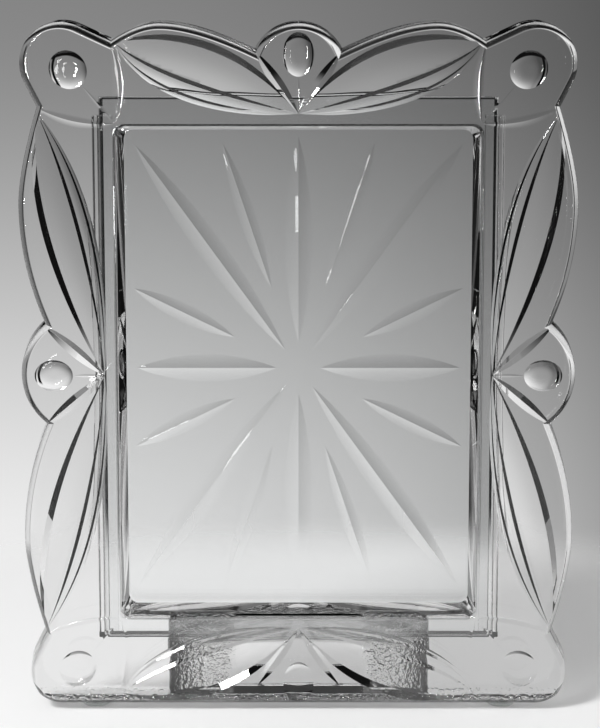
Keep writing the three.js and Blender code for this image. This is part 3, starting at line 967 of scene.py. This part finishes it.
    def cut_dot(self, slab: bpy.types.Object, centre: Vector, size: Pair, turn: float) -> None:
        """Sink an oval thumbprint, a bowl with a flat bottom, into the face.

        Args:
            slab: The border.
            centre: The thumbprint's middle on the face.
            size: Its width and length.
            turn: How far its length is turned from +Z towards +X, in radians.
        """
        shares = [self.dot_spill * step / self.dot_rings for step in range(self.dot_rings + 1)]
        bowl = [Vector((share, 0, self.dot_depth * (share ** self.dot_power - 1))) for share in shares]
        cutter = add_line("bowl", [*bowl, Vector((0, 0, bowl[-1].z))], False)
        choose(cutter)
        bpy.ops.object.convert(target="MESH")
        bpy.ops.object.mode_set(mode="EDIT")
        bpy.ops.mesh.select_all(action="SELECT")
        bpy.ops.mesh.spin(steps=self.dot_segments, angle=math.tau, center=(0, 0, 0), axis=(0, 0, 1))
        bpy.ops.object.mode_set(mode="OBJECT")
        stretch = Matrix.Diagonal((size[0] / 2 * MM, size[1] / 2 * MM, MM, 1))
        lift = Matrix.Translation(centre.to_3d() * MM)
        cutter.data.transform(self.on_face @ lift @ Matrix.Rotation(-turn, 4, "Z") @ stretch)
        close_up(cutter)
        combine(slab, cutter, Change.CUT)

    def cut_dots(self, slab: bpy.types.Object) -> None:
        """Sink the eight thumbprints."""
        corner = self.corner_dot_point
        away = self.corner_centre - self.corner_meet
        turn = math.atan2(away.x, away.y)
        for right, up in QUARTERS:
            self.cut_dot(slab, flat(right * corner.x, up * corner.y), self.corner_dot, right * up * turn)
        for sign in (1, -1):
            side = flat(sign * (self.half_width - self.side_dot_in), 0)
            end = flat(0, sign * (self.half_height - self.end_dot_in))
            self.cut_dot(slab, side, self.side_dot, 0)
            self.cut_dot(slab, end, self.end_dot, 0)

    def build(self) -> bpy.types.Object:
        """Model the border and dress it."""
        slab = self.add_slab()
        for tool in (self.add_ground(), self.add_seat(), self.add_window_cutter()):
            combine(slab, tool, Change.CUT)
        self.cut_leaves(slab)
        self.cut_dots(slab)
        finish_piece(slab, "border", CRYSTAL, Body.FRAME, self.node, PRESSED_SMOOTH)
        seat = (self.rear - self.seat_depth) * MM
        cement_faces(slab, lambda face: abs(face.calc_center_median().y - seat) < WELD)
        return slab


@dataclass
class CoverPane:
    """The flat pane in front of the print, with ground edges."""

    node: str = "cover_pane"
    ground_edge: float = 0.3
    edge_facets: int = 2

    def build(self) -> bpy.types.Object:
        """Model the pane and dress it."""
        pane = add_block("pane_block", *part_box(self.node))
        ease_edges(pane, self.ground_edge * MM, self.edge_facets, CORNER)
        return finish_piece(pane, "pane", FLOAT_GLASS, Body.PANE, self.node, STAR_SMOOTH)


@dataclass(frozen=True)
class Ray:
    """One ray of the star: angle from the horizontal in degrees, inner and outer radius and width."""

    angle: float
    inner: float
    outer: float
    width: float

    def leaves(self) -> list[Leaf]:
        """The ray in every quarter where it isn't the same ray again."""
        found = {}
        for angle in (self.angle, 180 - self.angle, 180 + self.angle, 360 - self.angle):
            turn = math.radians(angle)
            along = flat(math.cos(turn), math.sin(turn))
            found[angle % 360] = lens(along * self.inner, along * self.outer, self.width, 0)
        return list(found.values())


@dataclass
class StarPanel:
    """The back panel with its star of sixteen shallow cuts on the rear face."""

    node: str = "star_panel"
    ground_edge: float = 0.9
    edge_facets: int = 1
    cut: FlaredCut = FlaredCut(math.radians(6.5))
    rays: tuple[Ray, ...] = (
        Ray(0, 7.2, 54, 9.6), Ray(26, 23.5, 61, 6.6), Ray(54, 7.2, 92, 9.0),
        Ray(71.5, 28, 79, 6.0), Ray(90, 8.5, 77, 9.6))

    def build(self) -> bpy.types.Object:
        """Model the panel and dress it."""
        low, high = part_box(self.node)
        panel = add_block("panel_block", low, high)
        ease_edges(panel, self.ground_edge * MM, self.edge_facets, CORNER)
        middle = (low + high) / 2
        out_of_rear = Matrix(((1, 0, 0, 0), (0, 0, 1, high.y), (0, 1, 0, middle.z), (0, 0, 0, 1)))
        for ray in self.rays:
            for leaf in ray.leaves():
                cut_leaf(panel, leaf, self.cut, out_of_rear)
        return finish_piece(panel, "star_panel_cut", CRYSTAL, Body.PANEL, self.node, STAR_SMOOTH)


@dataclass
class SideRail:
    """A clear L-section strip beside the plates, with a lip behind them."""

    side: Side
    wall: float = 1.9
    lip_thickness: float = 2.0
    ease: float = 0.35
    ease_facets: int = 3

    def build(self) -> bpy.types.Object:
        """Model the rail and dress it."""
        node = f"{self.side.name.lower()}_rail"
        low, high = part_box(node)
        sign = self.side.value
        outer, inner = (high.x, low.x) if sign > 0 else (low.x, high.x)
        wall_in = outer - sign * self.wall * MM
        lip_front = high.y - self.lip_thickness * MM
        section = [
            Vector((wall_in, low.y)), Vector((outer, low.y)), Vector((outer, high.y)),
            Vector((inner, high.y)), Vector((inner, lip_front)), Vector((wall_in, lip_front))]
        rail = add_prism("rail_strip", section, high.z - low.z)
        rail.data.transform(Matrix.Translation((0, 0, low.z)))
        ease_edges(rail, self.ease * MM, self.ease_facets, CORNER)
        return finish_piece(rail, f"{node}_strip", ACRYLIC, Body.FRAME, node, PRESSED_SMOOTH)


@dataclass
class RearFoot:
    """The crystal block behind the bottom border: a ledge for the plates, a sloping lip and round corners."""

    lip_thickness: float = 3.4
    heel_height: float = 18.0
    ledge_depth: float = 7.3
    ease: float = 0.8
    ease_facets: int = 4
    ease_angle: float = math.radians(30)
    corner: float = 15.0
    corner_steps: int = 24

    def add_plan(self, low: Vector, high: Vector) -> bpy.types.Object:
        """The foot's shape from above, with its rear corners rounded off, as a tall block."""
        corner = self.corner * MM
        centre = flat(high.x - corner, high.y - corner)
        right = [
            flat(high.x, low.y),
            *arc_points(centre, flat(high.x, centre.y), flat(centre.x, high.y), self.corner_steps),
        ]
        left = [flat(-point.x, point.y) for point in reversed(right)]
        plan = add_prism("foot_plan", [*right, *left], 2 * high.z)
        plan.data.transform(Matrix.Translation((0, 0, low.z - high.z / 2)))
        return plan

    def build(self) -> bpy.types.Object:
        """Model the foot and dress it."""
        low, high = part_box(FOOT_NODE)
        lip_front = low.y + self.ledge_depth * MM
        lip_rear = lip_front + self.lip_thickness * MM
        ledge = high.z - FOOT_LIP * MM
        heel = low.z + self.heel_height * MM
        section = [
            Vector((low.y, low.z)), Vector((high.y, low.z)), Vector((high.y, heel)),
            Vector((lip_rear, high.z)), Vector((lip_front, high.z)),
            Vector((lip_front, ledge)), Vector((low.y, ledge))]
        foot = add_prism("foot_block", section, high.x - low.x)
        along = Matrix(((0, 0, 1, low.x), (1, 0, 0, 0), (0, 1, 0, 0), (0, 0, 0, 1)))
        foot.data.transform(along)
        combine(foot, self.add_plan(low, high), Change.KEEP_SHARED)
        ease_edges(foot, self.ease * MM, self.ease_facets, self.ease_angle)
        finish_piece(foot, "foot", CAST_CRYSTAL, Body.FRAME, FOOT_NODE, PRESSED_SMOOTH)
        cement_faces(foot, lambda face: abs(face.calc_center_median().y - low.y) < WELD)
        return foot


@dataclass
class ClearPad:
    """A soft clear pad under the base, with a rounded lower edge."""

    node: str
    segments: int = 48
    edge: float = 0.5
    edge_facets: int = 4

    def build(self) -> bpy.types.Object:
        """Model the pad and dress it."""
        low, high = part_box(self.node)
        bpy.ops.object.select_all(action="DESELECT")
        bpy.ops.mesh.primitive_cylinder_add(
            vertices=self.segments, radius=(high.x - low.x) / 2, depth=high.z - low.z,
            location=(low + high) / 2)
        pad = bpy.context.object
        bpy.ops.object.transform_apply(location=True, rotation=True, scale=True)
        ease_edges(pad, self.edge * MM, self.edge_facets, CORNER)
        return finish_piece(pad, f"{self.node}_disc", SOFT_CLEAR, Body.FRAME, self.node, PAD_SMOOTH)


# The studio


@dataclass(frozen=True)
class Lamp:
    """A soft rectangular lamp: place and size in metres, power in watts, and its turn about its own axis."""

    name: str
    place: tuple[float, float, float]
    size: tuple[float, float]
    power: float
    lean: float = 0.0

    def build(self, aim: Vector) -> None:
        """Hang the lamp so that it looks at a point in metres."""
        data = bpy.data.lights.new(self.name, "AREA")
        data.shape = "RECTANGLE"
        data.size, data.size_y = self.size
        data.energy = self.power
        lamp = bpy.data.objects.new(self.name, data)
        bpy.context.scene.collection.objects.link(lamp)
        lamp.location = self.place
        towards = aim - Vector(self.place)
        turn = towards.to_track_quat("-Z", "Y").to_matrix() @ Matrix.Rotation(self.lean, 3, "Z")
        lamp.rotation_euler = turn.to_euler()


@dataclass
class Studio:
    """Floor, backdrop light, lamps and camera."""

    # Camera: its place in millimetres, its lens in pixels and millimetres, its nearest view in metres
    eye_distance: float = 654.0
    eye_rise: float = math.radians(8.5)
    aim: tuple[float, float, float] = (0.5, -19.15, 116.9)
    focal_pixels: float = 2016.0
    sensor: float = 36.0
    nearest: float = 0.01

    # Floor, in metres: where it starts to fade and is gone; then the painted glow it shows to rays that come
    # through the glass, its strength and share, which lifts the glass's shadow on it
    floor_colour: str = "f4f4f4"
    floor_size: float = 1.0
    floor_clear: float = 0.17
    floor_fade: float = 0.30
    painted_glow_level: float = 0.75
    painted_glow_share: float = 0.4

    # Paper behind: its light low down and high up, and how it falls off to the right, by the way of sight
    low_light: float = 0.94
    high_light: float = 0.235
    low_rise: float = -0.308
    high_rise: float = 0.042
    middle_share: float = 0.84
    right_fall: float = 1.92
    right_curve: float = 5.6
    least_share: float = 0.3
    left_end: float = -0.17

    # Dark places that only glass and mirrors show: strips on both sides by bearing; by rise, from start to
    # full, the strips' foot, the ceiling, the open roof above it and the floor's edge; the room in front
    strip_places: tuple[float, float] = (math.radians(17.5), math.radians(25.2))
    strip_half: float = math.radians(2.2)
    strip_foot: tuple[float, float] = (-0.34, -0.26)
    ceiling: tuple[float, float] = (0.12, 0.15)
    open_roof: tuple[float, float] = (0.66, 0.8)
    floor_edge: tuple[float, float] = (-0.5, -0.38)
    front_start: float = -0.3
    front_shade: float = 0.97
    dark_level: float = 0.005
    room_level: float = 0.45

    # A softbox, and white cards that the star's cuts mirror, where no flat face of the front does
    lamps: tuple[Lamp, ...] = (
        Lamp("softbox", (-0.75, -0.75, 0.95), (0.32, 0.42), 16.0),
        Lamp("side_card", (-0.278, -0.96, 0.2), (0.09, 0.05), 0.64, math.radians(38)),
        Lamp("corner_card", (-0.25, -0.96, 0.27), (0.05, 0.04), 0.29),
        Lamp("low_card", (-0.315, -0.96, 0.095), (0.06, 0.04), 0.34),
    )

    def add_camera(self) -> None:
        """The camera at the photograph's place."""
        lens_data = bpy.data.cameras.new("camera")
        lens_data.sensor_width = self.sensor
        lens_data.lens = self.focal_pixels / max(PHOTO_WIDTH, PHOTO_HEIGHT) * self.sensor
        lens_data.clip_start = self.nearest
        camera = bpy.data.objects.new("camera", lens_data)
        bpy.context.scene.collection.objects.link(camera)
        back = Vector((0, -math.cos(self.eye_rise), math.sin(self.eye_rise)))
        camera.location = (Vector(self.aim) + back * self.eye_distance) * MM
        camera.rotation_euler = (math.pi / 2 - self.eye_rise, 0, 0)
        bpy.context.scene.camera = camera

    def add_floor(self) -> None:
        """A pale table top that fades into the backdrop away from the object, and glows where it is seen
        through glass: painted light that lifts the glass's shadow.
        """
        bpy.ops.object.select_all(action="DESELECT")
        bpy.ops.mesh.primitive_plane_add(size=self.floor_size)
        floor = bpy.context.object
        floor.name = "table_top"
        paper = bpy.data.materials.new("matt_paper")
        tree = empty_tree(paper)
        place = add_node(tree, "ShaderNodeTexCoord").outputs["Object"]
        far = add_node(tree, "ShaderNodeVectorMath", {0: place}, operation="LENGTH")
        fade = add_node(tree, "ShaderNodeMapRange", {
            "Value": far.outputs["Value"], "From Min": self.floor_clear, "From Max": self.floor_fade},
            interpolation_type="SMOOTHERSTEP")
        matt = add_node(tree, "ShaderNodeBsdfDiffuse", {"Color": linear(self.floor_colour)})
        # Painted light: the floor glows for rays that came through glass, standing in for the light that
        # crosses the glass into its shadow
        glow = add_node(tree, "ShaderNodeEmission", {
            "Color": linear(self.floor_colour), "Strength": self.painted_glow_level})
        path = add_node(tree, "ShaderNodeLightPath")
        through = add_node(tree, "ShaderNodeMath", {
            0: path.outputs["Is Transmission Ray"], 1: self.painted_glow_share}, operation="MULTIPLY")
        paper_mix = add_node(tree, "ShaderNodeMixShader", {
            "Fac": through.outputs[0], 1: matt.outputs["BSDF"], 2: glow.outputs["Emission"]})
        away = add_node(tree, "ShaderNodeBsdfTransparent")
        mix = add_node(tree, "ShaderNodeMixShader", {
            "Fac": fade.outputs["Result"], 1: paper_mix.outputs["Shader"], 2: away.outputs["BSDF"]})
        add_node(tree, "ShaderNodeOutputMaterial", {"Surface": mix.outputs["Shader"]})
        floor.data.materials.append(paper)

    def paper_light(self, tree: bpy.types.NodeTree, across: bpy.types.NodeSocket,
                    rise: bpy.types.NodeSocket) -> bpy.types.NodeSocket:
        """Add the nodes of the paper's light, which pales downward and to the left.

        Args:
            tree: The world's tree.
            across: How far the way of sight goes to the right.
            rise: How far it goes up.

        Returns:
            The socket with the light's strength.
        """
        level = add_node(tree, "ShaderNodeMapRange", {
            "Value": rise, "From Min": self.low_rise, "From Max": self.high_rise,
            "To Min": self.low_light, "To Max": self.high_light}, interpolation_type="SMOOTHSTEP")
        aside = add_node(tree, "ShaderNodeMath", {0: across, 1: self.left_end}, operation="MAXIMUM")
        fall = add_node(tree, "ShaderNodeMath", {
            0: aside.outputs[0], 1: -self.right_curve, 2: -self.right_fall}, operation="MULTIPLY_ADD")
        share = add_node(tree, "ShaderNodeMath", {
            0: aside.outputs[0], 1: fall.outputs[0], 2: self.middle_share}, operation="MULTIPLY_ADD")
        held = add_node(tree, "ShaderNodeMath", {
            0: share.outputs[0], 1: self.least_share}, operation="MAXIMUM")
        light = add_node(tree, "ShaderNodeMath", {
            0: level.outputs["Result"], 1: held.outputs[0]}, operation="MULTIPLY")
        return light.outputs[0]

    def dark_places(self, tree: bpy.types.NodeTree, across: bpy.types.NodeSocket, deep: bpy.types.NodeSocket,
                    rise: bpy.types.NodeSocket) -> bpy.types.NodeSocket:
        """Add the nodes of the dark strips beside the object, the ceiling and the floor's edge.

        Args:
            tree: The world's tree.
            across: How far the way of sight goes to the right.
            deep: How far it goes back.
            rise: How far it goes up.

        Returns:
            The socket that is 1 where it is dark and 0 elsewhere.
        """
        bearing = add_node(tree, "ShaderNodeMath", {0: across, 1: deep}, operation="ARCTAN2")
        aside = add_node(tree, "ShaderNodeMath", {0: bearing.outputs[0]}, operation="ABSOLUTE")
        near, far = (add_node(tree, "ShaderNodeMath", {
            0: aside.outputs[0], 1: place, 2: self.strip_half}, operation="COMPARE")
            for place in self.strip_places)
        above_foot, above_paper, above_ceiling, above_floor = (add_node(tree, "ShaderNodeMapRange", {
            "Value": rise, "From Min": start, "From Max": full}, interpolation_type="SMOOTHSTEP")
            for start, full in (self.strip_foot, self.ceiling, self.open_roof, self.floor_edge))
        both = add_node(tree, "ShaderNodeMath", {
            0: near.outputs[0], 1: far.outputs[0]}, operation="MAXIMUM")
        strips = add_node(tree, "ShaderNodeMath", {
            0: both.outputs[0], 1: above_foot.outputs["Result"]}, operation="MULTIPLY")
        roof = add_node(tree, "ShaderNodeMath", {
            0: above_paper.outputs["Result"], 1: above_ceiling.outputs["Result"]}, operation="SUBTRACT")
        ground = add_node(tree, "ShaderNodeMath", {
            0: 1.0, 1: above_floor.outputs["Result"]}, operation="SUBTRACT")
        upper = add_node(tree, "ShaderNodeMath", {
            0: strips.outputs[0], 1: roof.outputs[0]}, operation="MAXIMUM")
        dark = add_node(tree, "ShaderNodeMath", {
            0: upper.outputs[0], 1: ground.outputs[0]}, operation="MAXIMUM")
        return dark.outputs[0]

    def add_backdrop(self) -> None:
        """The world: pale paper, with dark strips and a dark ceiling that only glass and mirrors show."""
        world = bpy.data.worlds.new("studio")
        bpy.context.scene.world = world
        tree = empty_tree(world)
        way = add_node(tree, "ShaderNodeTexCoord").outputs["Generated"]
        axes = add_node(tree, "ShaderNodeSeparateXYZ", {"Vector": way})
        across, deep, rise = (axes.outputs[name] for name in "XYZ")
        path = add_node(tree, "ShaderNodeLightPath")
        front = add_node(tree, "ShaderNodeMapRange", {
            "Value": deep, "From Min": self.front_start, "From Max": 0.0,
            "To Min": self.front_shade, "To Max": 0.0}, interpolation_type="SMOOTHSTEP")
        bounced = add_node(tree, "ShaderNodeMath", {
            0: path.outputs["Glossy Depth"], 1: front.outputs["Result"]}, operation="MULTIPLY")
        mirrored = add_node(tree, "ShaderNodeMath", {
            0: bounced.outputs[0], 1: front.outputs["Result"]}, operation="MINIMUM")
        dark = add_node(tree, "ShaderNodeMath", {
            0: self.dark_places(tree, across, deep, rise), 1: mirrored.outputs[0]}, operation="MAXIMUM")
        indirect = add_node(tree, "ShaderNodeMath", {
            0: 1.0, 1: path.outputs["Is Camera Ray"]}, operation="SUBTRACT")
        shade = add_node(tree, "ShaderNodeMath", {
            0: dark.outputs[0], 1: indirect.outputs[0]}, operation="MULTIPLY")
        seen = add_node(tree, "ShaderNodeMapRange", {
            "Value": shade.outputs[0], "To Min": self.paper_light(tree, across, rise),
            "To Max": self.dark_level})
        room = add_node(tree, "ShaderNodeMapRange", {
            "Value": path.outputs["Diffuse Depth"], "To Min": seen.outputs["Result"],
            "To Max": self.room_level})
        light = add_node(tree, "ShaderNodeBackground", {
            "Color": linear("ffffff"), "Strength": room.outputs["Result"]})
        add_node(tree, "ShaderNodeOutputWorld", {"Surface": light.outputs["Background"]})

    def build(self) -> None:
        """Set the studio up."""
        self.add_camera()
        self.add_floor()
        self.add_backdrop()
        for lamp in self.lamps:
            lamp.build(Vector(self.aim) * MM)
        bpy.context.scene.view_settings.view_transform = "Standard"
        log.info("studio ready")


def main() -> None:
    """Build the studio and every piece in order."""
    logging.basicConfig(level=logging.INFO, format="%(name)s: %(message)s")
    Studio().build()
    pads = [f"{end}_pad_{side.name.lower()}" for end in ("front", "rear") for side in Side]
    pieces = [
        CrystalBorder(), CoverPane(), StarPanel(), *(SideRail(side) for side in Side), RearFoot(),
        *(ClearPad(node) for node in pads),
    ]
    for piece in pieces:
        piece.build()


if __name__ == "__main__":
    main()
